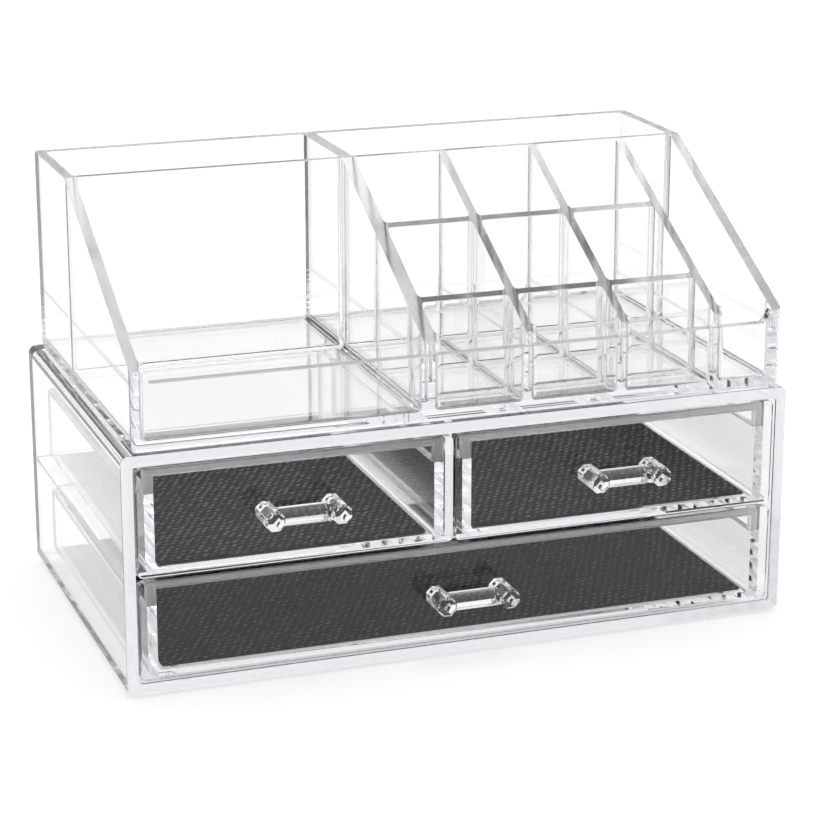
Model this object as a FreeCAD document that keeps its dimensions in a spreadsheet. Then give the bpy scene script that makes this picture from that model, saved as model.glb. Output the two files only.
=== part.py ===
import FreeCAD, Part
import os

import Sketcher

# Clear drawer organizer: a case with three drawers and a loose partitioned tray standing on it.
# Front faces -Y, right is +X, up is +Z. The origin is under the middle of the bounding box.
# Lengths are in millimetres.
SIZES = {
    # Drawer case
    "case_width": 240.0,
    "case_depth": 142.0,
    "case_height": 83.6,
    "case_wall": 4.1,
    "case_back": 3.0,
    "case_edge_round": 2.6,
    "bay_corner_round": 1.0,
    "rim_round": 0.5,
    # Feet
    "foot_diameter": 11.0,
    "foot_height": 1.2,
    "foot_inset": 10.0,
    "foot_bevel": 0.3,
    # Shelf and divider inside the case
    "lower_bay_height": 35.5,
    "shelf_thickness": 1.6,
    "bay_split": 115.4,
    "divider_thickness": 2.8,
    "partition_setback": 1.0,
    # Drawers
    "drawer_back_gap": 5.0,
    "front_thickness": 2.6,
    "front_corner_round": 2.0,
    "front_edge_round": 0.6,
    "front_overhang": 3.1,
    "frame_depth": 3.0,
    "rail_height": 3.4,
    "drawer_wall": 3.3,
    "drawer_floor": 2.0,
    "floor_rise": 0.8,
    "wall_drop": 10.0,
    "keel_round": 2.4,
    "hollow_round": 1.8,
    "wall_top_round": 0.7,
    "runner_width": 4.0,
    "runner_inset": 8.0,
    # Drawer handles
    "post_flats": 6.7,
    "post_length": 12.6,
    "post_spacing": 23.0,
    "post_bevel": 0.6,
    "bar_flats": 6.0,
    "bar_reach": 7.4,
    "peg_diameter": 3.0,
    # Drawer mats
    "mat_thickness": 0.8,
    "mat_margin": 2.0,
    "mat_end_margin": 2.4,
    "mat_corner_round": 1.0,
    # Tray
    "tray_left_inset": 4.2,
    "tray_right_inset": 2.8,
    "tray_front_inset": 0.8,
    "tray_back_inset": 4.4,
    "tray_height": 73.6,
    "tray_wall": 3.7,
    "tray_floor": 3.2,
    "tray_corner_round": 1.8,
    "tray_keel_round": 1.6,
    "tray_hollow_round": 1.6,
    "slope_front_height": 27.8,
    "front_wall_height": 23.4,
    "front_ramp_width": 3.0,
    "fin_setback": 1.6,
    "tray_divider": 4.8,
    "fin_thickness": 3.0,
    "cell_width": 31.9,
    "right_slot_width": 19.0,
    "front_cell_depth": 14.2,
    "cell_depth": 32.5,
    "row_wall": 2.2,
    "cross_wall": 2.4,
    # Clearances
    "bond_gap": 0.1,
    "peg_gap": 0.1,
    "front_gap": 0.6,
    "pair_gap": 0.6,
    "row_gap": 1.2,
    "glide_gap": 0.25,
    "seat_gap": 0.2,
}

X_AXIS = "x"
Y_AXIS = "y"
Z_AXIS = "z"
OCTAGON_SIDES = 8
CELL_COLUMNS = 3
PICK_TOLERANCE = 0.01

# Sizes that follow from the driving ones, written as expressions on the sheet.
BAY_WIDTH = "(dims.case_width - 2 * dims.case_wall)"
BAY_HEIGHT = "(dims.case_height - 2 * dims.case_wall)"
BAY_DEPTH = "(dims.case_depth - dims.case_back)"
SHELF_BOTTOM = "(dims.case_wall + dims.lower_bay_height)"
SHELF_MIDDLE = f"({SHELF_BOTTOM} + dims.shelf_thickness / 2)"
SHELF_TOP = f"({SHELF_BOTTOM} + dims.shelf_thickness)"
UPPER_BAY_HEIGHT = f"({BAY_HEIGHT} - dims.lower_bay_height - dims.shelf_thickness)"
PARTITION_FRONT = "(dims.front_thickness + dims.frame_depth + dims.partition_setback)"
FRONT_SIDE = "(dims.case_wall + dims.front_gap)"
LOWER_FRONT_HEIGHT = f"({SHELF_MIDDLE} - dims.row_gap / 2 - {FRONT_SIDE})"
UPPER_FRONT_LOW = f"({SHELF_MIDDLE} + dims.row_gap / 2)"
UPPER_FRONT_HEIGHT = f"(dims.case_height - {FRONT_SIDE} - {UPPER_FRONT_LOW})"
LOWER_SEAT = "dims.front_gap"
UPPER_SEAT = "(dims.row_gap - dims.shelf_thickness) / 2"
LEFT_FRONT_WIDTH = f"(dims.bay_split - dims.pair_gap / 2 - {FRONT_SIDE})"
RIGHT_FRONT_SIDE = "(dims.bay_split + dims.pair_gap / 2)"
RIGHT_FRONT_WIDTH = f"(dims.case_width - {FRONT_SIDE} - {RIGHT_FRONT_SIDE})"
LOWER_FRONT_WIDTH = f"(dims.case_width - 2 * {FRONT_SIDE})"
HOLLOW_SIDE = "(dims.front_overhang + dims.drawer_wall)"
DRAWER_LENGTH = f"({BAY_DEPTH} - dims.drawer_back_gap)"
HOLLOW_LENGTH = f"({DRAWER_LENGTH} - dims.front_thickness - dims.drawer_wall)"
HANDLE_REACH = "(dims.post_length + dims.bond_gap)"
TRAY_WIDTH = "(dims.case_width - dims.tray_left_inset - dims.tray_right_inset)"
TRAY_DEPTH = "(dims.case_depth - dims.tray_front_inset - dims.tray_back_inset)"

doc = FreeCAD.newDocument("drawer_organizer")
dims = doc.addObject("Spreadsheet::Sheet", "dims")
for row, (alias, size) in enumerate(SIZES.items(), start=1):
    dims.set(f"A{row}", alias)
    dims.set(f"B{row}", str(size))
    dims.setAlias(f"B{row}", alias)
doc.recompute()


def measure(expression):
    """Give the present value of an expression on the sheet."""
    return float(dims.evalExpression(expression))


def new_body(label):
    """Start a sub-part with its own label."""
    body = doc.addObject("PartDesign::Body", label)
    body.Label = label
    return body


def place(body, x, y, z):
    """Put a body's own origin at a point measured from the case's left, front, bottom corner."""
    body.setExpression("Placement.Base.x", f"{x} - dims.case_width / 2")
    body.setExpression("Placement.Base.y", f"{y} + ({HANDLE_REACH} - dims.case_depth) / 2")
    body.setExpression("Placement.Base.z", f"{z} + dims.foot_height")


def new_sketch(body, name, role, offset=None):
    """Attach a sketch to one of the body's origin planes, raised along the plane's normal."""
    sketch = body.newObject("Sketcher::SketchObject", name)
    plane = next(item for item in body.Origin.OriginFeatures if item.Role == role)
    sketch.AttachmentSupport = [(plane, "")]
    sketch.MapMode = "FlatFace"
    if offset is not None:
        sketch.setExpression("AttachmentOffset.Base.z", offset)
    return sketch


def bind(sketch, constraint, expression):
    """Add a constraint whose value follows an expression on the sheet."""
    index = sketch.addConstraint(constraint)
    sketch.setExpression(f"Constraints[{index}]", expression)


def fix_point(sketch, line, across, up):
    """Tie the start of a line to the sketch's origin. None means that it lies on the axis."""
    if across is None:
        sketch.addConstraint(Sketcher.Constraint("PointOnObject", line, 1, -2))
    else:
        value = measure(across)
        bind(sketch, Sketcher.Constraint("DistanceX", -1, 1, line, 1, value), across)
    if up is None:
        sketch.addConstraint(Sketcher.Constraint("PointOnObject", line, 1, -1))
    else:
        value = measure(up)
        bind(sketch, Sketcher.Constraint("DistanceY", -1, 1, line, 1, value), up)


def add_polygon(sketch, corners):
    """Draw a closed outline through corners given as pairs of expressions."""
    points = []
    for across, up in corners:
        x = 0.0 if across is None else measure(across)
        y = 0.0 if up is None else measure(up)
        points.append(FreeCAD.Vector(x, y, 0))
    first = sketch.GeometryCount
    count = len(points)
    for index in range(count):
        sketch.addGeometry(Part.LineSegment(points[index], points[(index + 1) % count]), False)
    for index in range(count):
        following = first + (index + 1) % count
        sketch.addConstraint(Sketcher.Constraint("Coincident", first + index, 2, following, 1))
    for index, (across, up) in enumerate(corners):
        fix_point(sketch, first + index, across, up)


def add_rectangle(sketch, left, low, width, height):
    """Draw a rectangle from its lower left corner. None means that the corner lies on the axis."""
    right = width if left is None else f"{left} + {width}"
    high = height if low is None else f"{low} + {height}"
    add_polygon(sketch, [(left, low), (right, low), (right, high), (left, high)])


def add_octagon(sketch, flats, right=None, left=None):
    """Draw a regular octagon on the sketch's first axis, its middle right or left of the origin."""
    across_corners = f"{flats} / cos(180deg / {OCTAGON_SIDES})"
    middle = 0.0
    if right is not None:
        middle = measure(right)
    if left is not None:
        middle = -measure(left)
    centre = FreeCAD.Vector(middle, 0, 0)
    radius = measure(flats) / 2
    ring = sketch.addGeometry(Part.Circle(centre, FreeCAD.Vector(0, 0, 1), radius), True)
    bind(sketch, Sketcher.Constraint("Diameter", ring, 2 * radius), across_corners)
    if right is not None:
        bind(sketch, Sketcher.Constraint("DistanceX", -1, 1, ring, 3, middle), right)
    if left is not None:
        bind(sketch, Sketcher.Constraint("DistanceX", ring, 3, -1, 1, -middle), left)
    if right is None and left is None:
        sketch.addConstraint(Sketcher.Constraint("Coincident", ring, 3, -1, 1))
    else:
        sketch.addConstraint(Sketcher.Constraint("PointOnObject", ring, 3, -1))
    first = sketch.GeometryCount
    spoke = FreeCAD.Vector(radius, 0, 0)
    turn = 360.0 / OCTAGON_SIDES
    axis = FreeCAD.Vector(0, 0, 1)
    corners = []
    for index in range(OCTAGON_SIDES):
        corners.append(centre + FreeCAD.Rotation(axis, turn * (index + 0.5)).multVec(spoke))
    for index in range(OCTAGON_SIDES):
        side = Part.LineSegment(corners[index], corners[(index + 1) % OCTAGON_SIDES])
        sketch.addGeometry(side, False)
    for index in range(OCTAGON_SIDES):
        following = first + (index + 1) % OCTAGON_SIDES
        sketch.addConstraint(Sketcher.Constraint("Coincident", first + index, 2, following, 1))
        sketch.addConstraint(Sketcher.Constraint("PointOnObject", first + index, 1, ring))
    for index in range(1, OCTAGON_SIDES):
        sketch.addConstraint(Sketcher.Constraint("Equal", first, first + index))
    sketch.addConstraint(Sketcher.Constraint("Horizontal", first + 1))


def add_circle(sketch, diameter, across=None, up=None):
    """Draw a circle about the origin, or about a point given by expressions."""
    x = 0.0 if across is None else measure(across)
    y = 0.0 if up is None else measure(up)
    radius = measure(diameter) / 2
    centre = FreeCAD.Vector(x, y, 0)
    ring = sketch.addGeometry(Part.Circle(centre, FreeCAD.Vector(0, 0, 1), radius), False)
    bind(sketch, Sketcher.Constraint("Diameter", ring, 2 * radius), diameter)
    if across is None and up is None:
        sketch.addConstraint(Sketcher.Constraint("Coincident", ring, 3, -1, 1))
        return
    bind(sketch, Sketcher.Constraint("DistanceX", -1, 1, ring, 3, x), across)
    if up is None:
        sketch.addConstraint(Sketcher.Constraint("PointOnObject", ring, 3, -1))
    else:
        bind(sketch, Sketcher.Constraint("DistanceY", -1, 1, ring, 3, y), up)


def pad(body, name, sketch, length, back=False):
    """Add material from a sketch along its normal, or against it."""
    feature = body.newObject("PartDesign::Pad", name)
    feature.Profile = sketch
    feature.setExpression("Length", length)
    feature.Reversed = back
    doc.recompute()
    return feature


def pocket(body, name, sketch, length, forward=False):
    """Cut material from a sketch against its normal, or along it."""
    before = body.Shape.Volume
    feature = body.newObject("PartDesign::Pocket", name)
    feature.Profile = sketch
    feature.setExpression("Length", length)
    feature.Reversed = forward
    doc.recompute()
    if body.Shape.Volume >= before:
        raise RuntimeError(f"{body.Label}: {name} cut nothing")
    return feature


def blend_edges(body, name, kind, size_name, size, wanted):
    """Round or bevel the edges of the body that a test picks."""
    base = body.Tip
    picked = []
    for index, edge in enumerate(base.Shape.Edges, start=1):
        if not edge.Degenerated and wanted(edge.discretize(5)):
            picked.append(f"Edge{index}")
    if not picked:
        raise RuntimeError(f"{body.Label}: {name} found no edge")
    feature = body.newObject(kind, name)
    feature.Base = (base, picked)
    feature.setExpression(size_name, size)
    doc.recompute()


def round_edges(body, name, radius, wanted):
    """Round the picked edges."""
    blend_edges(body, name, "PartDesign::Fillet", "Radius", radius, wanted)


def bevel_edges(body, name, size, wanted):
    """Bevel the picked edges."""
    blend_edges(body, name, "PartDesign::Chamfer", "Size", size, wanted)


def stays_at(points, axis, position):
    """Tell whether every point has the given coordinate."""
    return all(abs(getattr(point, axis) - position) < PICK_TOLERANCE for point in points)


def stays_between(points, axis, low, high):
    """Tell whether every point lies between two coordinates."""
    places = [getattr(point, axis) for point in points]
    return min(places) > low - PICK_TOLERANCE and max(places) < high + PICK_TOLERANCE


def runs_along(points, axis):
    """Tell whether the points follow one axis."""
    others = [item for item in (X_AXIS, Y_AXIS, Z_AXIS) if item != axis]
    return all(stays_at(points, item, getattr(points[0], item)) for item in others)


def on_either(points, axis, positions):
    """Tell whether the points stay at one of several coordinates."""
    return any(stays_at(points, axis, position) for position in positions)


def make_plate(label, width, depth, thickness):
    """Build a plain rectangular plate."""
    body = new_body(label)
    outline = new_sketch(body, f"{label}_outline", "XY_Plane")
    add_rectangle(outline, None, None, width, depth)
    pad(body, f"{label}_plate", outline, thickness)
    return body


def make_case():
    """Build the open-fronted case shell, its shelf and its divider."""
    shell = new_body("case_shell")
    outline = new_sketch(shell, "case_outline", "XY_Plane")
    add_rectangle(outline, None, None, "dims.case_width", "dims.case_depth")
    pad(shell, "case_block", outline, "dims.case_height")
    round_edges(
        shell,
        "case_rounding",
        "dims.case_edge_round",
        lambda points: runs_along(points, Y_AXIS),
    )
    opening = new_sketch(shell, "case_opening", "XZ_Plane")
    add_rectangle(opening, "dims.case_wall", "dims.case_wall", BAY_WIDTH, BAY_HEIGHT)
    pocket(shell, "case_hollow", opening, BAY_DEPTH)

    wall = measure("dims.case_wall")
    far = measure("dims.case_width") - wall
    high = measure("dims.case_height") - wall
    depth = measure("dims.case_depth")

    def bay_corner(points):
        beside = on_either(points, X_AXIS, (wall, far))
        level = on_either(points, Z_AXIS, (wall, high))
        return runs_along(points, Y_AXIS) and beside and level

    round_edges(shell, "bay_corners", "dims.bay_corner_round", bay_corner)
    round_edges(
        shell,
        "case_rims",
        "dims.rim_round",
        lambda points: on_either(points, Y_AXIS, (0, depth)),
    )
    place(shell, "0", "0", "0")

    shelf_width = f"{BAY_WIDTH} - 2 * dims.bond_gap"
    partition_depth = f"{BAY_DEPTH} - {PARTITION_FRONT} - dims.bond_gap"
    shelf = make_plate("mid_shelf", shelf_width, partition_depth, "dims.shelf_thickness")
    place(shelf, "dims.case_wall + dims.bond_gap", PARTITION_FRONT, SHELF_BOTTOM)

    divider_height = f"{UPPER_BAY_HEIGHT} - 2 * dims.bond_gap"
    divider = make_plate("bay_divider", "dims.divider_thickness", partition_depth, divider_height)
    divider_side = "dims.bay_split - dims.divider_thickness / 2"
    place(divider, divider_side, PARTITION_FRONT, f"{SHELF_TOP} + dims.bond_gap")


def make_foot(label, x, y):
    """Build one round bumper foot, bevelled where it meets the table."""
    foot = new_body(label)
    outline = new_sketch(foot, f"{label}_outline", "XY_Plane")
    add_circle(outline, "dims.foot_diameter")
    pad(foot, f"{label}_disc", outline, "dims.foot_height - dims.bond_gap")
    bevel_edges(foot, f"{label}_edge", "dims.foot_bevel", lambda points: stays_at(points, Z_AXIS, 0))
    place(foot, x, y, "-dims.foot_height")


def make_drawer(side, width, height, x, z, seat):
    """Build one drawer with its handle and its mat, from the outside size of its front.

    The seat is how far the lower edge of the front lies above what the drawer slides on.
    """
    drawer = new_body(f"drawer_{side}")
    front = new_sketch(drawer, f"front_outline_{side}", "XZ_Plane")
    add_rectangle(front, None, None, width, height)
    pad(drawer, f"front_{side}", front, "dims.front_thickness", back=True)
    round_edges(
        drawer,
        f"front_corners_{side}",
        "dims.front_corner_round",
        lambda points: runs_along(points, Y_AXIS),
    )
    round_edges(
        drawer,
        f"front_edges_{side}",
        "dims.front_edge_round",
        lambda points: stays_at(points, Y_AXIS, 0),
    )

    wall_top = f"({height} - dims.wall_drop)"
    box_width = f"({width} - 2 * dims.front_overhang)"
    profile = new_sketch(drawer, f"box_profile_{side}", "XZ_Plane", "-dims.front_thickness")
    box_height = f"({wall_top} - dims.floor_rise)"
    add_rectangle(profile, "dims.front_overhang", "dims.floor_rise", box_width, box_height)
    pad(drawer, f"box_{side}", profile, f"{DRAWER_LENGTH} - dims.front_thickness", back=True)

    low = measure("dims.floor_rise")
    high = measure(wall_top)
    near = measure("dims.front_thickness")
    rear = measure(DRAWER_LENGTH)
    left = measure("dims.front_overhang")
    right = measure(width) - left

    def keel(points):
        behind = stays_between(points, Y_AXIS, near, rear) and not stays_at(points, Y_AXIS, near)
        upright = runs_along(points, Z_AXIS) and stays_at(points, Y_AXIS, rear)
        return behind and (stays_at(points, Z_AXIS, low) or upright)

    round_edges(drawer, f"keel_{side}", "dims.keel_round", keel)

    hollow = new_sketch(drawer, f"hollow_outline_{side}", "XY_Plane", wall_top)
    hollow_width = f"({width} - 2 * {HOLLOW_SIDE})"
    add_rectangle(hollow, HOLLOW_SIDE, "dims.front_thickness", hollow_width, HOLLOW_LENGTH)
    pocket(drawer, f"hollow_{side}", hollow, f"{box_height} - dims.drawer_floor")

    floor = measure("dims.floor_rise + dims.drawer_floor")
    inner_left = measure(HOLLOW_SIDE)
    inner_right = measure(width) - inner_left
    inner_rear = rear - measure("dims.drawer_wall")

    def hollow_edge(points):
        across = stays_between(points, X_AXIS, inner_left, inner_right)
        along = stays_between(points, Y_AXIS, near, inner_rear) and not stays_at(points, Y_AXIS, near)
        upright = runs_along(points, Z_AXIS) and stays_between(points, Z_AXIS, floor, high)
        return across and along and (stays_at(points, Z_AXIS, floor) or upright)

    def wall_top_edge(points):
        middle = measure("dims.drawer_wall") / 2
        behind = not stays_at(points, Y_AXIS, near) and stays_between(points, Y_AXIS, near, rear)
        inner = any(
            left + middle < point.x < right - middle and point.y < rear - middle
            for point in points
        )
        return stays_at(points, Z_AXIS, high) and behind and not inner

    round_edges(drawer, f"hollow_rounding_{side}", "dims.hollow_round", hollow_edge)

    frame = new_sketch(drawer, f"frame_outline_{side}", "XZ_Plane", "-dims.front_thickness")
    frame_right = f"({width} - dims.front_overhang)"
    window_right = f"({width} - {HOLLOW_SIDE})"
    rail_bottom = f"({height} - dims.rail_height)"
    corners = [
        ("dims.front_overhang", wall_top),
        ("dims.front_overhang", height),
        (frame_right, height),
        (frame_right, wall_top),
        (window_right, wall_top),
        (window_right, rail_bottom),
        (HOLLOW_SIDE, rail_bottom),
        (HOLLOW_SIDE, wall_top),
    ]
    add_polygon(frame, corners)
    pad(drawer, f"frame_{side}", frame, "dims.frame_depth", back=True)
    round_edges(drawer, f"wall_tops_{side}", "dims.wall_top_round", wall_top_edge)

    runners = new_sketch(drawer, f"runner_outline_{side}", "XY_Plane", "dims.floor_rise")
    runner_length = f"({DRAWER_LENGTH} - 2 * dims.runner_inset)"
    runner_side = "(dims.front_overhang + dims.runner_inset)"
    far_runner = f"({width} - {runner_side} - dims.runner_width)"
    for runner_left in (runner_side, far_runner):
        add_rectangle(runners, runner_left, "dims.runner_inset", "dims.runner_width", runner_length)
    runner_height = f"dims.floor_rise + {seat} - dims.glide_gap"
    pad(drawer, f"runners_{side}", runners, runner_height, back=True)

    holes = new_sketch(drawer, f"peg_holes_{side}", "XZ_Plane")
    hole = "(dims.peg_diameter + 2 * dims.peg_gap)"
    for sign in ("-", "+"):
        hole_across = f"({width} {sign} dims.post_spacing) / 2"
        add_circle(holes, hole, hole_across, f"{height} / 2")
    pocket(drawer, f"peg_cuts_{side}", holes, "dims.front_thickness")
    place(drawer, x, "0", z)

    handle = make_handle(f"handle_{side}")
    handle_x = f"{x} + ({width} - dims.post_spacing) / 2"
    place(handle, handle_x, "-dims.bond_gap", f"{z} + {height} / 2")

    mat_width = f"{hollow_width} - 2 * dims.mat_margin"
    mat_length = f"{HOLLOW_LENGTH} - 2 * dims.mat_end_margin"
    mat = make_plate(f"mat_{side}", mat_width, mat_length, "dims.mat_thickness")
    round_edges(
        mat,
        f"mat_corners_{side}",
        "dims.mat_corner_round",
        lambda points: runs_along(points, Z_AXIS),
    )
    mat_x = f"{x} + {HOLLOW_SIDE} + dims.mat_margin"
    mat_z = f"{z} + dims.floor_rise + dims.drawer_floor"
    place(mat, mat_x, "dims.front_thickness + dims.mat_end_margin", mat_z)


def make_handle(label):
    """Build one handle from the axis of its left post: two posts, a bar and two pegs."""
    handle = new_body(label)
    posts = new_sketch(handle, f"{label}_posts_outline", "XZ_Plane")
    add_octagon(posts, "dims.post_flats")
    add_octagon(posts, "dims.post_flats", right="dims.post_spacing")
    pad(handle, f"{label}_posts", posts, "dims.post_length")
    end = -measure("dims.post_length")
    bevel_edges(
        handle,
        f"{label}_post_ends",
        "dims.post_bevel",
        lambda points: stays_at(points, Y_AXIS, end),
    )
    bar = new_sketch(handle, f"{label}_bar_outline", "YZ_Plane")
    add_octagon(bar, "dims.bar_flats", left="dims.bar_reach")
    pad(handle, f"{label}_bar", bar, "dims.post_spacing")
    pegs = new_sketch(handle, f"{label}_pegs_outline", "XZ_Plane")
    add_circle(pegs, "dims.peg_diameter")
    add_circle(pegs, "dims.peg_diameter", "dims.post_spacing")
    pad(handle, f"{label}_pegs", pegs, "dims.front_thickness", back=True)
    return handle


def tray_spans():
    """Give the left edge and width of the tray's five columns, counted from its left face."""
    right_edge = f"({TRAY_WIDTH} - dims.tray_wall)"
    left = f"({right_edge} - dims.right_slot_width)"
    spans = [(left, "dims.right_slot_width")]
    for column in range(CELL_COLUMNS):
        left = f"({left} - dims.fin_thickness - dims.cell_width)"
        spans.insert(0, (left, "dims.cell_width"))
    bin_width = f"({left} - dims.tray_divider - dims.tray_wall)"
    spans.insert(0, ("dims.tray_wall", bin_width))
    return spans


def make_tray():
    """Build the loose tray: thirteen compartments under a top that slopes down to the front."""
    tray = new_body("tray")
    outline = new_sketch(tray, "tray_outline", "XY_Plane")
    add_rectangle(outline, None, None, TRAY_WIDTH, TRAY_DEPTH)
    pad(tray, "tray_block", outline, "dims.tray_height")
    round_edges(
        tray,
        "tray_corners",
        "dims.tray_corner_round",
        lambda points: runs_along(points, Z_AXIS),
    )
    round_edges(tray, "tray_keel", "dims.tray_keel_round", lambda points: stays_at(points, Z_AXIS, 0))

    spans = tray_spans()
    first_wall = "(dims.tray_wall + dims.front_cell_depth)"
    second_cell = f"({first_wall} + dims.row_wall)"
    third_cell = f"({second_cell} + dims.cell_depth + dims.row_wall)"
    cross_front = f"({third_cell} + dims.cell_depth)"
    rear_front = f"({cross_front} + dims.cross_wall)"
    rear_depth = f"({TRAY_DEPTH} - dims.tray_wall - {rear_front})"
    open_depth = f"({cross_front} - dims.tray_wall)"
    right_side = spans[1][0]
    right_width = f"({TRAY_WIDTH} - dims.tray_wall - {right_side})"

    cells = new_sketch(tray, "tray_cells", "XY_Plane", "dims.tray_height")
    for left, width in (spans[0], spans[-1]):
        add_rectangle(cells, left, "dims.tray_wall", width, open_depth)
    rows = [
        ("dims.tray_wall", "dims.front_cell_depth"),
        (second_cell, "dims.cell_depth"),
        (third_cell, "dims.cell_depth"),
    ]
    for left, width in spans[1:-1]:
        for low, depth in rows:
            add_rectangle(cells, left, low, width, depth)
    add_rectangle(cells, spans[0][0], rear_front, spans[0][1], rear_depth)
    add_rectangle(cells, right_side, rear_front, right_width, rear_depth)
    pocket(tray, "tray_hollows", cells, "dims.tray_height - dims.tray_floor")

    floor = measure("dims.tray_floor")
    wall = measure("dims.tray_wall")
    far = measure(TRAY_WIDTH) - wall
    rear = measure(TRAY_DEPTH) - wall

    def hollow_edge(points):
        across = stays_between(points, X_AXIS, wall, far)
        along = stays_between(points, Y_AXIS, wall, rear)
        return across and along and (stays_at(points, Z_AXIS, floor) or runs_along(points, Z_AXIS))

    round_edges(tray, "tray_hollow_rounding", "dims.tray_hollow_round", hollow_edge)

    slope = new_sketch(tray, "tray_slope", "YZ_Plane")
    top = "dims.tray_height"
    add_polygon(slope, [(None, "dims.slope_front_height"), (cross_front, top), (None, top)])
    pocket(tray, "tray_slope_cut", slope, TRAY_WIDTH, forward=True)

    low = "dims.front_wall_height"
    high = "dims.slope_front_height"
    ramp = "(dims.tray_wall + dims.front_ramp_width)"
    notch = new_sketch(tray, "front_notch", "XZ_Plane")
    add_polygon(
        notch,
        [
            (ramp, low),
            (f"{TRAY_WIDTH} - {ramp}", low),
            (f"{TRAY_WIDTH} - dims.tray_wall", high),
            ("dims.tray_wall", high),
        ],
    )
    pocket(tray, "front_notch_cut", notch, "dims.fin_setback")

    steps = new_sketch(tray, "front_steps", "XZ_Plane")
    above = f"{high} + dims.tray_wall"
    for column, (left, width) in enumerate(spans):
        right = f"({left} + {width})"
        low_left = ramp if column == 0 else left
        low_right = f"({TRAY_WIDTH} - {ramp})" if column == len(spans) - 1 else right
        corners = [(low_left, low), (low_right, low), (right, high)]
        corners += [(right, above), (left, above), (left, high)]
        add_polygon(steps, corners)
    pocket(tray, "front_steps_cut", steps, "dims.tray_wall")
    place(tray, "dims.tray_left_inset", "dims.tray_front_inset", "dims.case_height + dims.seat_gap")


make_case()
foot_near = "dims.foot_inset"
foot_far = "dims.case_width - dims.foot_inset"
foot_rear = "dims.case_depth - dims.foot_inset"
make_foot("foot_front_left", foot_near, foot_near)
make_foot("foot_front_right", foot_far, foot_near)
make_foot("foot_back_left", foot_near, foot_rear)
make_foot("foot_back_right", foot_far, foot_rear)
make_drawer("left", LEFT_FRONT_WIDTH, UPPER_FRONT_HEIGHT, FRONT_SIDE, UPPER_FRONT_LOW, UPPER_SEAT)
make_drawer("right", RIGHT_FRONT_WIDTH, UPPER_FRONT_HEIGHT, RIGHT_FRONT_SIDE, UPPER_FRONT_LOW, UPPER_SEAT)
make_drawer("bottom", LOWER_FRONT_WIDTH, LOWER_FRONT_HEIGHT, FRONT_SIDE, FRONT_SIDE, LOWER_SEAT)
make_tray()
doc.recompute()

for item in doc.Objects:
    if "Invalid" in item.State or "Error" in item.State:
        raise RuntimeError(f"{item.Label} did not build")

os.makedirs("parts", exist_ok=True)
for body in doc.findObjects("PartDesign::Body"):
    shape = body.Shape
    if shape.isNull() or not shape.isValid() or len(shape.Solids) != 1:
        raise RuntimeError(f"{body.Label} is not one sound solid")
    shape.exportStep(f"parts/{body.Label}.step")
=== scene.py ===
"""Looks of a clear drawer organizer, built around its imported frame."""

import logging
import math
from dataclasses import dataclass, replace
from enum import Enum
from typing import Any

import bpy
import numpy as np
from mathutils import Euler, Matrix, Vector


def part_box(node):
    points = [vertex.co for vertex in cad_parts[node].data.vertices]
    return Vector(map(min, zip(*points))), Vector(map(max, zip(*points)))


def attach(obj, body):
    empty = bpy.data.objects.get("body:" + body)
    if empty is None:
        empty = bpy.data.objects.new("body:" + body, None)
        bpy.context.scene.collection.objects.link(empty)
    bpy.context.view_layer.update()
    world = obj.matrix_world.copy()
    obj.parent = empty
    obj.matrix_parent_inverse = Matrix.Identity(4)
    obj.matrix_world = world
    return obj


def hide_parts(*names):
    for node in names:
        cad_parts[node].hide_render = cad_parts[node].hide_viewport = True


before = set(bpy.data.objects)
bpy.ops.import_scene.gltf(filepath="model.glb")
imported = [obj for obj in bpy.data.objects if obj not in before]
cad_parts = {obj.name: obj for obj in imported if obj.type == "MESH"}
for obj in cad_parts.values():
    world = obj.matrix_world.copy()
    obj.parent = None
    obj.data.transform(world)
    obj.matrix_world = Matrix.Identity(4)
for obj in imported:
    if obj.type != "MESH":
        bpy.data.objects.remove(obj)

LOG = logging.getLogger("organizer")
MM = 0.001
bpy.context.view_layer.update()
Settings = dict[Any, Any]


class Side(Enum):
    """The three drawers, named as the frame names them."""

    LEFT = "left"
    RIGHT = "right"
    BOTTOM = "bottom"


class Slot(Enum):
    """The record's material slots that new pieces take their finish from."""

    MAT = "black_mat"


def linear(hex_colour: str) -> tuple[float, float, float, float]:
    """Turn an sRGB hex colour into linear red, green, blue and alpha.

    Args:
        hex_colour: six hex digits, such as "F2F4F5".

    Returns:
        The linear colour with alpha 1.
    """
    srgb = np.array([int(hex_colour[i : i + 2], 16) for i in (0, 2, 4)]) / 255.0
    low = srgb / 12.92
    high = ((srgb + 0.055) / 1.055) ** 2.4
    red, green, blue = np.where(srgb <= 0.04045, low, high)
    return float(red), float(green), float(blue), 1.0


def add_node(
    tree: bpy.types.NodeTree, kind: str, settings: Settings, links: Settings | None = None
) -> bpy.types.Node:
    """Add a shader node, set it up and link its inputs.

    Args:
        tree: the node tree that gets the node.
        kind: the node's type name.
        settings: attributes by name, or input values by socket name or number.
        links: output sockets by the input they feed.

    Returns:
        The new node.
    """
    node = tree.nodes.new(kind)
    for key, value in settings.items():
        if isinstance(key, int) or key in node.inputs:
            node.inputs[key].default_value = value
        else:
            setattr(node, key, value)
    for key, socket in (links or {}).items():
        tree.links.new(socket, node.inputs[key])
    return node


def new_material(name: str) -> tuple[bpy.types.Material, bpy.types.NodeTree]:
    """Start an empty node material.

    Args:
        name: the material's name.

    Returns:
        The material and its tree.
    """
    material = bpy.data.materials.new(name)
    material.use_nodes = True
    material.node_tree.nodes.clear()
    return material, material.node_tree


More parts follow.
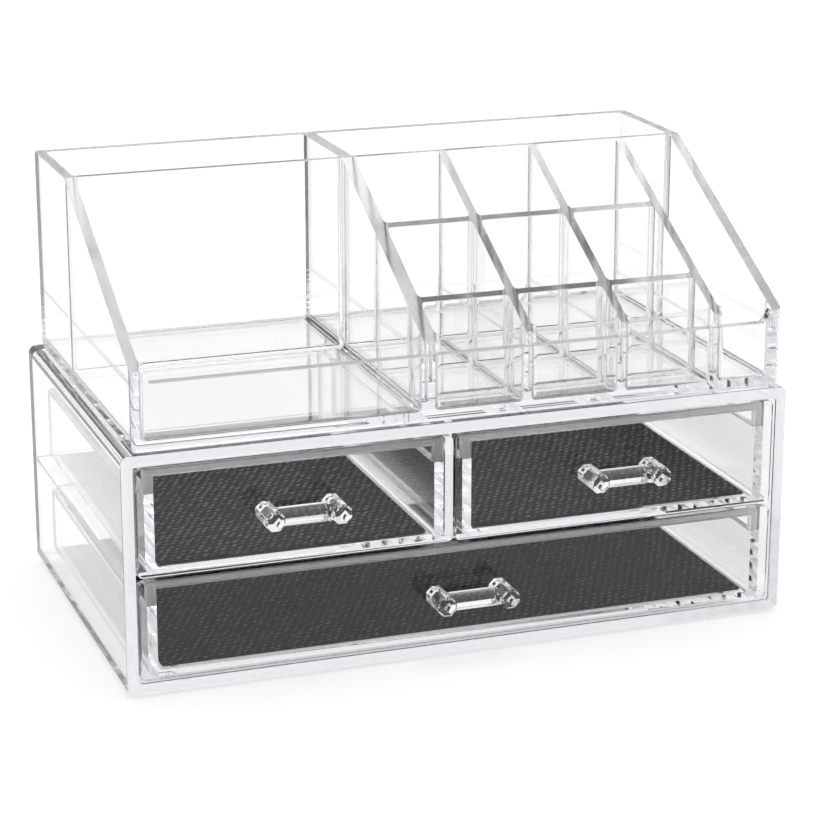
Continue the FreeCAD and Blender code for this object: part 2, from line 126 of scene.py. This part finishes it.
@dataclass(frozen=True)
class MattZone:
    """The unpolished back of each drawer front's frame: a slab that comes back in each row of drawers."""

    middle_mm: float
    half_mm: float
    low_mm: float
    tall_mm: float
    pitch_mm: float
    roughness: float

    def build(self, tree: bpy.types.NodeTree) -> bpy.types.NodeSocket:
        """Add nodes that give the matt roughness inside the slab and nothing elsewhere.

        Args:
            tree: the node tree.

        Returns:
            The roughness.
        """
        place = add_node(tree, "ShaderNodeTexCoord", {})
        parts = add_node(tree, "ShaderNodeSeparateXYZ", {}, {0: place.outputs["Object"]})
        behind = add_node(
            tree,
            "ShaderNodeMath",
            {"operation": "COMPARE", 1: self.middle_mm * MM, 2: self.half_mm * MM},
            {0: parts.outputs["Y"]},
        )
        above = add_node(
            tree, "ShaderNodeMath", {"operation": "SUBTRACT", 1: self.low_mm * MM}, {0: parts.outputs["Z"]}
        )
        row = add_node(
            tree,
            "ShaderNodeMath",
            {"operation": "FLOORED_MODULO", 1: self.pitch_mm * MM},
            {0: above.outputs[0]},
        )
        level = add_node(
            tree, "ShaderNodeMath", {"operation": "LESS_THAN", 1: self.tall_mm * MM}, {0: row.outputs[0]}
        )
        inside = add_node(
            tree, "ShaderNodeMath", {"operation": "MULTIPLY"}, {0: behind.outputs[0], 1: level.outputs[0]}
        )
        return add_node(
            tree, "ShaderNodeMath", {"operation": "MULTIPLY", 1: self.roughness}, {0: inside.outputs[0]}
        ).outputs[0]


@dataclass(frozen=True)
class SatinRim:
    """Rims that the tool leaves satin: thin slabs, each along a line that is given in side view.

    A line runs from one point to another, and each point says how far back and how high it lies.
    """

    lines_mm: tuple[tuple[tuple[float, float], tuple[float, float]], ...]
    half_mm: float
    roughness: float

    def build(self, tree: bpy.types.NodeTree) -> bpy.types.NodeSocket:
        """Add nodes that give the satin roughness near the rims and nothing elsewhere.

        A point lies in a slab when its place along the line's normal is that of the line's start, give or
        take half the slab's thickness.

        Args:
            tree: the node tree.

        Returns:
            The roughness.
        """
        place = add_node(tree, "ShaderNodeTexCoord", {})
        total = add_node(tree, "ShaderNodeValue", {}).outputs[0]
        total.default_value = 0.0
        for start, end in self.lines_mm:
            run = Vector(end) - Vector(start)
            normal = Vector((-run.y, run.x)).normalized()
            along = add_node(
                tree,
                "ShaderNodeVectorMath",
                {"operation": "DOT_PRODUCT", 1: (0.0, normal.x, normal.y)},
                {0: place.outputs["Object"]},
            )
            near = add_node(
                tree,
                "ShaderNodeMath",
                {"operation": "COMPARE", 1: normal.dot(Vector(start)) * MM, 2: self.half_mm * MM},
                {0: along.outputs["Value"]},
            )
            total = add_node(
                tree,
                "ShaderNodeMath",
                {"operation": "MULTIPLY_ADD", 1: self.roughness},
                {0: near.outputs[0], 2: total},
            ).outputs[0]
        return total


@dataclass(frozen=True)
class ClearMoulding:
    """Clear injection-moulded plastic with a tool polish that wanders a little.

    The eye gets water-clear faces, edges that gather white and dark lines from the room, a sheen that
    is not quite even, and a faint lavender grey where it looks a long way through a wall.
    """

    name: str
    colour: str
    tint: str
    tint_density: float
    ior: float
    gloss: str
    polish: tuple[float, float]
    patch_mm: float
    matt: MattZone | SatinRim | None = None
    patch_detail: float = 2.0
    patch_span: tuple[float, float] = (0.4, 0.75)

    def build(self) -> bpy.types.Material:
        """Make the node material."""
        material, tree = new_material(self.name)
        place = add_node(tree, "ShaderNodeTexCoord", {})
        patches = add_node(
            tree,
            "ShaderNodeTexNoise",
            {"Scale": 1.0 / (self.patch_mm * MM), "Detail": self.patch_detail},
            {"Vector": place.outputs["Object"]},
        )
        rough = add_node(
            tree,
            "ShaderNodeMapRange",
            {1: self.patch_span[0], 2: self.patch_span[1], 3: self.polish[0], 4: self.polish[1]},
            {0: patches.outputs["Fac"]},
        )
        if self.matt:
            rough = add_node(
                tree,
                "ShaderNodeMath",
                {"operation": "MAXIMUM"},
                {0: rough.outputs[0], 1: self.matt.build(tree)},
            )
        body = add_node(
            tree,
            "ShaderNodeBsdfPrincipled",
            {
                "Base Color": linear(self.colour),
                "IOR": self.ior,
                "Specular Tint": linear(self.gloss),
                "Transmission Weight": 1.0,
            },
            {"Roughness": rough.outputs[0]},
        )
        depth = add_node(
            tree,
            "ShaderNodeVolumeAbsorption",
            {"Color": linear(self.tint), "Density": self.tint_density},
        )
        add_node(
            tree,
            "ShaderNodeOutputMaterial",
            {},
            {"Surface": body.outputs["BSDF"], "Volume": depth.outputs["Volume"]},
        )
        return material


@dataclass(frozen=True)
class EmbossedMat:
    """Calendered black vinyl foam: charcoal, matt in the valleys and rubbed a little on the grains.

    The eye gets a dark sheet that sparkles weakly along slanting rows of grains, whose paler colour is a
    painted glint.
    """

    name: str
    valley: str
    # Colour of the raised grains: a painted glint, paler than the vinyl's own charcoal.
    crest_glint: str
    roughness: tuple[float, float]
    specular: float
    speck_mm: float
    tooth_mm: float
    ior: float = 1.5
    speck_detail: float = 4.0
    speck_span: tuple[float, float] = (0.35, 0.65)
    # The speck mask's range, which sets both the grains' rubbed smoothness and their painted glint.
    rub_and_glint_span: tuple[float, float] = (0.45, 1.0)
    rubbed_share: float = 0.6
    tooth_strength: float = 0.6

    def build(self) -> bpy.types.Material:
        """Make the node material."""
        material, tree = new_material(self.name)
        place = add_node(tree, "ShaderNodeTexCoord", {})
        specks = add_node(
            tree,
            "ShaderNodeTexNoise",
            {"Scale": 1.0 / (self.speck_mm * MM), "Detail": self.speck_detail},
            {"Vector": place.outputs["Object"]},
        )
        raised = add_node(tree, "ShaderNodeAttribute", {"attribute_name": "raised"})
        # The speck mask serves both the rubbing, which smooths the grains, and the painted glint on them.
        rub_and_glint = add_node(
            tree,
            "ShaderNodeMapRange",
            {1: self.speck_span[0], 2: self.speck_span[1], 3: self.rub_and_glint_span[0], 4: self.rub_and_glint_span[1]},
            {0: specks.outputs["Fac"]},
        )
        share = add_node(
            tree,
            "ShaderNodeMath",
            {"operation": "MULTIPLY"},
            {0: rub_and_glint.outputs[0], 1: raised.outputs["Fac"]},
        )
        # Painted glint: the raised, speckled grains are mixed from the valley colour towards the pale crest
        # colour.
        colour = add_node(
            tree,
            "ShaderNodeMix",
            {"data_type": "RGBA", 6: linear(self.valley), 7: linear(self.crest_glint)},
            {0: share.outputs[0]},
        )
        rough = add_node(
            tree,
            "ShaderNodeMapRange",
            {1: 0.0, 2: self.rubbed_share, 3: self.roughness[0], 4: self.roughness[1]},
            {0: share.outputs[0]},
        )
        tooth = add_node(
            tree,
            "ShaderNodeBump",
            {"Strength": self.tooth_strength, "Distance": self.tooth_mm * MM},
            {"Height": specks.outputs["Fac"]},
        )
        body = add_node(
            tree,
            "ShaderNodeBsdfPrincipled",
            {"IOR": self.ior, "Specular IOR Level": self.specular},
            {
                "Base Color": colour.outputs[2],
                "Roughness": rough.outputs[0],
                "Normal": tooth.outputs["Normal"],
            },
        )
        add_node(tree, "ShaderNodeOutputMaterial", {}, {"Surface": body.outputs["BSDF"]})
        return material


# Polished acrylic lets light through its whole length, so the tint is set for a path of decimetres.
ACRYLIC = ClearMoulding(
    name="clear_moulded_acrylic",
    colour="FFFFFF",
    tint="E2E3EA",
    tint_density=4.5,
    ior=1.49,
    gloss="D0D0D0",
    polish=(0.0, 0.02),
    patch_mm=30.0,
)
# The drawers' frames keep the grain of the tool on their back, which scatters light and looks pale.
FRAME_BACK = MattZone(middle_mm=-59.05, half_mm=0.2, low_mm=31.0, tall_mm=10.3, pitch_mm=39.1, roughness=1.0)
DRAWER_ACRYLIC = replace(ACRYLIC, name="clear_acrylic_matt_frame", matt=FRAME_BACK)
# The case's front rim is the parting face of its tool.
CASE_FRONT = ((-64.65, 1.2), (-64.65, 84.8))
CASE_RIM = SatinRim(lines_mm=(CASE_FRONT,), half_mm=0.3, roughness=0.2)
CASE_ACRYLIC = replace(ACRYLIC, name="clear_acrylic_satin_front", matt=CASE_RIM)
# The tray's satin rims follow its slope and the top of its front wall.
TRAY_SLOPE = ((-63.85, 112.8), (23.45, 158.6))
TRAY_FRONT_TOP = ((-63.85, 108.4), (-60.15, 108.4))
TRAY_RIM = SatinRim(lines_mm=(TRAY_SLOPE, TRAY_FRONT_TOP), half_mm=0.3, roughness=0.25)
TRAY_ACRYLIC = replace(ACRYLIC, name="clear_acrylic_satin_rims", matt=TRAY_RIM)
# Bumper vinyl is softer and satin, so it blurs what lies behind it.
BUMPER = ClearMoulding(
    name="clear_vinyl_bumper",
    colour="F4F5F6",
    tint="D8DBE2",
    tint_density=40.0,
    ior=1.52,
    gloss="FFFFFF",
    polish=(0.12, 0.25),
    patch_mm=5.0,
)
# The grains carry a painted glint, paler than the valleys, and rubbing only makes them smoother; the specks
# are drawn coarser than real so that they show.
MAT = EmbossedMat(
    name="embossed_black_vinyl",
    valley="131314",
    crest_glint="C0C1C4",
    roughness=(0.7, 0.4),
    specular=0.1,
    speck_mm=0.7,
    tooth_mm=0.05,
)


def dress(node: str, material: bpy.types.Material) -> None:
    """Give a frame node its finish.

    Args:
        node: the frame node's name.
        material: the finish.
    """
    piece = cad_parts[node]
    piece.data.materials.clear()
    piece.data.materials.append(material)
    LOG.info("%s: %s", node, material.name)


@dataclass
class Case:
    """The open-fronted case with its glued shelf, its divider and four bumper feet."""

    clear_nodes: tuple[str, ...] = ("case_shell", "mid_shelf", "bay_divider")
    foot_nodes: tuple[str, ...] = (
        "foot_front_left",
        "foot_front_right",
        "foot_back_left",
        "foot_back_right",
    )

    def build(self, acrylic: bpy.types.Material, bumper: bpy.types.Material) -> None:
        """Dress the case.

        Args:
            acrylic: the clear moulding's finish.
            bumper: the finish of the feet.
        """
        for node in self.clear_nodes:
            dress(node, acrylic)
        for node in self.foot_nodes:
            dress(node, bumper)


@dataclass
class Drawer:
    """One drawer with its handle and its embossed mat."""

    side: Side
    corner_mm: float = 1.0
    grain_across_mm: float = 2.9
    grain_along_mm: float = 5.6
    grain_half_mm: tuple[float, float] = (0.95, 0.45)
    grain_height_mm: float = 0.22
    least_grain: float = 0.2
    shift_share: float = 0.3
    lean_deg: float = 37.0
    seed: int = 7
    draws: int = 97
    step_mm: float = 0.54
    edge_mm: float = 0.5
    air_mm: float = 0.1

    def build(
        self, acrylic: bpy.types.Material, matt_framed: bpy.types.Material, vinyl: bpy.types.Material
    ) -> None:
        """Dress the drawer and its handle, and make the mat.

        Args:
            acrylic: the handle's finish.
            matt_framed: the drawer's finish.
            vinyl: the mat's finish.
        """
        dress(f"drawer_{self.side.value}", matt_framed)
        dress(f"handle_{self.side.value}", acrylic)
        self.make_mat(vinyl)

    def mat_points(self, low: np.ndarray, high: np.ndarray) -> tuple[np.ndarray, np.ndarray]:
        """Work out the mat's top as a grid of points.

        A row of points runs across the mat at each depth, and near the ends the row gets shorter by the
        corner's circle. The mat is shared out into slanting cells. Each cell raises one long grain, which
        falls off from its middle as a bell curve, longer along the row than across it. A seeded draw shifts
        each grain and sets its height, and all grains fall to nothing along the cut edge.

        Args:
            low: the lowest corner of the mat's box, in metres.
            high: the highest corner of the mat's box, in metres.

        Returns:
            The points, as rows by columns by 3, and how far each is raised, from 0 to 1.
        """
        middle = (low + high) / 2.0
        half_width, half_length = (high - low)[:2] / 2.0
        columns = int(round(2.0 * half_width / (self.step_mm * MM))) + 1
        rows = int(round(2.0 * half_length / (self.step_mm * MM))) + 1
        along = np.linspace(-half_length, half_length, rows)[:, None]
        radius = self.corner_mm * MM
        past = np.clip(np.abs(along) - (half_length - radius), 0.0, radius)
        reach = half_width - radius + np.sqrt(radius**2 - past**2)
        across = np.linspace(-1.0, 1.0, columns)[None, :] * reach
        along = np.broadcast_to(along, across.shape)
        span_x, span_y = self.grain_across_mm * MM, self.grain_along_mm * MM
        one, two = across / span_x - along / span_y, across / span_x + along / span_y
        cell_one, cell_two = np.round(one).astype(int), np.round(two).astype(int)
        draw = np.random.default_rng(self.seed).random((3, self.draws, self.draws))
        strength, shift_one, shift_two = draw[:, cell_one % self.draws, cell_two % self.draws]
        off_one = one - cell_one - self.shift_share * (shift_one - 0.5)
        off_two = two - cell_two - self.shift_share * (shift_two - 0.5)
        off_x, off_y = (off_two + off_one) / 2.0 * span_x, (off_two - off_one) / 2.0 * span_y
        lean = math.radians(self.lean_deg)
        length = (off_x * math.cos(lean) + off_y * math.sin(lean)) / (self.grain_half_mm[0] * MM)
        breadth = (off_y * math.cos(lean) - off_x * math.sin(lean)) / (self.grain_half_mm[1] * MM)
        tall = self.least_grain + (1.0 - self.least_grain) * strength
        grain = tall * np.exp(-(length**2) - breadth**2)
        inward = np.minimum(reach - np.abs(across), half_length - np.abs(along))
        lip = np.clip(inward / (self.edge_mm * MM), 0.0, 1.0)
        raised = grain * lip
        height = high[2] - self.grain_height_mm * MM * (1.0 - raised)
        points = np.stack([middle[0] + across, middle[1] + along, height], axis=-1)
        return points, raised

    def make_mat(self, vinyl: bpy.types.Material) -> None:
        """Build the mat in the place of its frame node: an embossed top, cut edges and a flat underside.

        Args:
            vinyl: the mat's finish.
        """
        node = f"mat_{self.side.value}"
        low, high = (np.array(corner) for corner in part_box(node))
        top, raised = self.mat_points(low, high)
        rows, columns = raised.shape
        index = np.arange(rows * columns).reshape(rows, columns)
        corners = [index[:-1, :-1], index[:-1, 1:], index[1:, 1:], index[1:, :-1]]
        quads = np.stack(corners, axis=-1).reshape(-1, 4)
        rim = np.concatenate([index[0, :-1], index[:-1, -1], index[-1, :0:-1], index[:0:-1, 0]])
        under = rows * columns + np.arange(rim.size)
        sides = np.stack([rim, under, np.roll(under, -1), np.roll(rim, -1)], axis=-1)
        foot = top.reshape(-1, 3)[rim].copy()
        foot[:, 2] = low[2] + self.air_mm * MM
        points = np.concatenate([top.reshape(-1, 3), foot])
        faces = quads.tolist() + sides.tolist() + [under[::-1].tolist()]
        mesh = bpy.data.meshes.new(f"embossed_{node}")
        mesh.from_pydata(points.tolist(), [], faces)
        mesh.polygons.foreach_set("use_smooth", np.arange(len(faces)) < len(quads))
        share = mesh.attributes.new("raised", "FLOAT", "POINT")
        values = np.concatenate([raised.ravel(), np.zeros(rim.size)])
        share.data.foreach_set("value", values.astype(np.float32))
        mesh.materials.append(vinyl)
        piece = bpy.data.objects.new(f"embossed_{node}", mesh)
        bpy.context.scene.collection.objects.link(piece)
        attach(piece, f"drawer_{self.side.value}")
        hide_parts(node)
        LOG.info("%s: %d faces, %s", piece.name, len(faces), vinyl.name)


@dataclass
class Tray:
    """The loose partitioned tray."""

    node: str = "tray"

    def build(self, acrylic: bpy.types.Material) -> None:
        """Dress the tray."""
        dress(self.node, acrylic)


@dataclass
class Studio:
    """Pale table, soft light and the camera of the photograph."""

    lens_mm: float = 117.476
    eye_mm: tuple[float, float, float] = (-306.97, -864.02, 352.72)
    yaw_deg: float = 19.662
    pitch_deg: float = 17.108
    dim: float = 0.2
    side: float = 0.4
    side_span: tuple[float, float] = (0.4, 0.8)
    sky: float = 0.8
    sky_span: tuple[float, float] = (0.2, 0.6)
    lamp: float = 3.6
    lamp_span: tuple[float, float] = (0.9, 0.96)
    behind: float = 1.0
    behind_span: tuple[float, float] = (0.3, 0.75)
    # Painted light: how strongly the table's pool glows for camera, glossy and transmission rays.
    glow: float = 0.72
    floor_half_m: float = 3.0
    near_pool: tuple[float, float] = (0.155, 0.148)
    far_pool: tuple[float, float] = (0.6, 0.15)
    side_fade_m: float = 0.15
    front_fade_m: tuple[float, float] = (-0.36, -0.2)
    # The pool's diffuse colour under its painted glow, and the grey beyond the pool, which is painted shade.
    pale: str = "959595"
    grey: str = "BEBEC0"

    def build(self) -> None:
        """Make the camera, the room's light and the table."""
        self.make_camera()
        self.make_room()
        self.make_table()

    def make_camera(self) -> None:
        """Stand the camera where the photograph was taken from."""
        data = bpy.data.cameras.new("camera")
        data.sensor_width = 36.0
        data.lens = self.lens_mm
        data.clip_start = 0.01
        data.clip_end = 50.0
        camera = bpy.data.objects.new("camera", data)
        camera.location = Vector(self.eye_mm) * MM
        camera.rotation_euler = Euler((math.radians(90.0 - self.pitch_deg), 0.0, math.radians(-self.yaw_deg)))
        bpy.context.scene.collection.objects.link(camera)
        bpy.context.scene.camera = camera

    def facing(self, tree: bpy.types.NodeTree, output: str) -> bpy.types.Node:
        """Add nodes that give how far right, back and up a point or direction lies, counted along the view.

        Args:
            tree: the node tree.
            output: the texture coordinate's output that is read.

        Returns:
            The node with the three parts.
        """
        place = add_node(tree, "ShaderNodeTexCoord", {})
        turned = add_node(
            tree,
            "ShaderNodeMapping",
            {"Rotation": (0.0, 0.0, math.radians(self.yaw_deg))},
            {"Vector": place.outputs[output]},
        )
        return add_node(tree, "ShaderNodeSeparateXYZ", {}, {0: turned.outputs[0]})

    def make_room(self) -> None:
        """Light the room softly: a broad lamp overhead, white behind, dim at the sides and at the front."""
        world = bpy.data.worlds.new("studio")
        world.use_nodes = True
        tree = world.node_tree
        tree.nodes.clear()
        parts = self.facing(tree, "Generated")
        soft = {"interpolation_type": "SMOOTHSTEP"}
        overhead = add_node(
            tree,
            "ShaderNodeMapRange",
            {**soft, 1: self.sky_span[0], 2: self.sky_span[1], 3: self.dim, 4: self.sky},
            {0: parts.outputs["Z"]},
        )
        lamp = add_node(
            tree,
            "ShaderNodeMapRange",
            {**soft, 1: self.lamp_span[0], 2: self.lamp_span[1], 3: 0.0, 4: self.lamp},
            {0: parts.outputs["Z"]},
        )
        behind = add_node(
            tree,
            "ShaderNodeMapRange",
            {**soft, 1: self.behind_span[0], 2: self.behind_span[1], 3: self.dim, 4: self.behind},
            {0: parts.outputs["Y"]},
        )
        aside = add_node(tree, "ShaderNodeMath", {"operation": "ABSOLUTE"}, {0: parts.outputs["X"]})
        beside = add_node(
            tree,
            "ShaderNodeMapRange",
            {**soft, 1: self.side_span[0], 2: self.side_span[1], 3: self.dim, 4: self.side},
            {0: aside.outputs[0]},
        )
        around = add_node(
            tree, "ShaderNodeMath", {"operation": "MAXIMUM"}, {0: beside.outputs[0], 1: behind.outputs[0]}
        )
        room = add_node(
            tree, "ShaderNodeMath", {"operation": "MAXIMUM"}, {0: overhead.outputs[0], 1: around.outputs[0]}
        )
        strength = add_node(
            tree, "ShaderNodeMath", {"operation": "ADD"}, {0: room.outputs[0], 1: lamp.outputs[0]}
        )
        light = add_node(
            tree, "ShaderNodeBackground", {"Color": (1.0, 1.0, 1.0, 1.0)}, {"Strength": strength.outputs[0]}
        )
        add_node(tree, "ShaderNodeOutputWorld", {}, {"Surface": light.outputs["Background"]})
        bpy.context.scene.world = world

    def make_table(self) -> None:
        """Lay the table: a white pool around the object that widens to the back, and pale grey beyond it.

        The pool's white is painted light: over a darker diffuse it glows for camera, glossy and transmission
        rays, which also makes the object's shadow faint there. The pale grey beyond it is painted shade for
        the unlit sides of the room. The pool's half-width is the larger of two straight lines along the view,
        each with its own widening.
        """
        soft = {"interpolation_type": "SMOOTHSTEP"}
        half = self.floor_half_m
        corners = np.array([[-half, -half, 0.0], [half, -half, 0.0], [half, half, 0.0], [-half, half, 0.0]])
        mesh = bpy.data.meshes.new("table")
        mesh.from_pydata(corners.tolist(), [], [(0, 1, 2, 3)])
        table = bpy.data.objects.new("table", mesh)
        bpy.context.scene.collection.objects.link(table)
        material, tree = new_material("pale_table")
        parts = self.facing(tree, "Object")
        narrow = add_node(
            tree,
            "ShaderNodeMath",
            {"operation": "MULTIPLY_ADD", 1: self.near_pool[0], 2: self.near_pool[1]},
            {0: parts.outputs["Y"]},
        )
        broad = add_node(
            tree,
            "ShaderNodeMath",
            {"operation": "MULTIPLY_ADD", 1: self.far_pool[0], 2: self.far_pool[1]},
            {0: parts.outputs["Y"]},
        )
        room = add_node(
            tree, "ShaderNodeMath", {"operation": "MAXIMUM"}, {0: narrow.outputs[0], 1: broad.outputs[0]}
        )
        aside = add_node(tree, "ShaderNodeMath", {"operation": "ABSOLUTE"}, {0: parts.outputs["X"]})
        spare = add_node(
            tree, "ShaderNodeMath", {"operation": "SUBTRACT"}, {0: room.outputs[0], 1: aside.outputs[0]}
        )
        between = add_node(
            tree,
            "ShaderNodeMapRange",
            {**soft, 1: -self.side_fade_m, 2: 0.0, 3: 0.0, 4: 1.0},
            {0: spare.outputs[0]},
        )
        back = add_node(
            tree,
            "ShaderNodeMapRange",
            {**soft, 1: self.front_fade_m[0], 2: self.front_fade_m[1], 3: 0.0, 4: 1.0},
            {0: parts.outputs["Y"]},
        )
        share = add_node(
            tree, "ShaderNodeMath", {"operation": "MULTIPLY"}, {0: between.outputs[0], 1: back.outputs[0]}
        )
        # Painted shade: beyond the pool the table turns plain grey with no glow.
        colour = add_node(
            tree,
            "ShaderNodeMix",
            {"data_type": "RGBA", 6: linear(self.grey), 7: linear(self.pale)},
            {0: share.outputs[0]},
        )
        body = add_node(tree, "ShaderNodeBsdfDiffuse", {}, {"Color": colour.outputs[2]})
        ray = add_node(tree, "ShaderNodeLightPath", {})
        mirrored = add_node(
            tree,
            "ShaderNodeMath",
            {"operation": "ADD"},
            {0: ray.outputs["Is Glossy Ray"], 1: ray.outputs["Is Transmission Ray"]},
        )
        seen = add_node(
            tree,
            "ShaderNodeMath",
            {"operation": "ADD", "use_clamp": True},
            {0: ray.outputs["Is Camera Ray"], 1: mirrored.outputs[0]},
        )
        # Painted light: inside the pool the table glows for camera, glossy and transmission rays.
        pool = add_node(
            tree, "ShaderNodeMath", {"operation": "MULTIPLY", 1: self.glow}, {0: share.outputs[0]}
        )
        lift = add_node(
            tree, "ShaderNodeMath", {"operation": "MULTIPLY"}, {0: pool.outputs[0], 1: seen.outputs[0]}
        )
        glow = add_node(
            tree, "ShaderNodeEmission", {"Color": linear("FFFFFF")}, {"Strength": lift.outputs[0]}
        )
        both = add_node(tree, "ShaderNodeAddShader", {}, {0: body.outputs[0], 1: glow.outputs[0]})
        add_node(tree, "ShaderNodeOutputMaterial", {}, {"Surface": both.outputs[0]})
        mesh.materials.append(material)


def main() -> None:
    """Dress the frame, make the new pieces and set the studio."""
    logging.basicConfig(level=logging.INFO, format="%(message)s")
    acrylic = ACRYLIC.build()
    matt_framed = DRAWER_ACRYLIC.build()
    bumper = BUMPER.build()
    vinyl = MAT.build()
    Case().build(CASE_ACRYLIC.build(), bumper)
    for side in Side:
        Drawer(side).build(acrylic, matt_framed, vinyl)
    Tray().build(TRAY_ACRYLIC.build())
    Studio().build()
    bpy.context.scene.view_settings.view_transform = "Standard"
    cycles = bpy.context.scene.cycles
    cycles.max_bounces = 30
    cycles.transmission_bounces = 30
    cycles.glossy_bounces = 20
    cycles.diffuse_bounces = 4


if __name__ == "__main__":
    main()
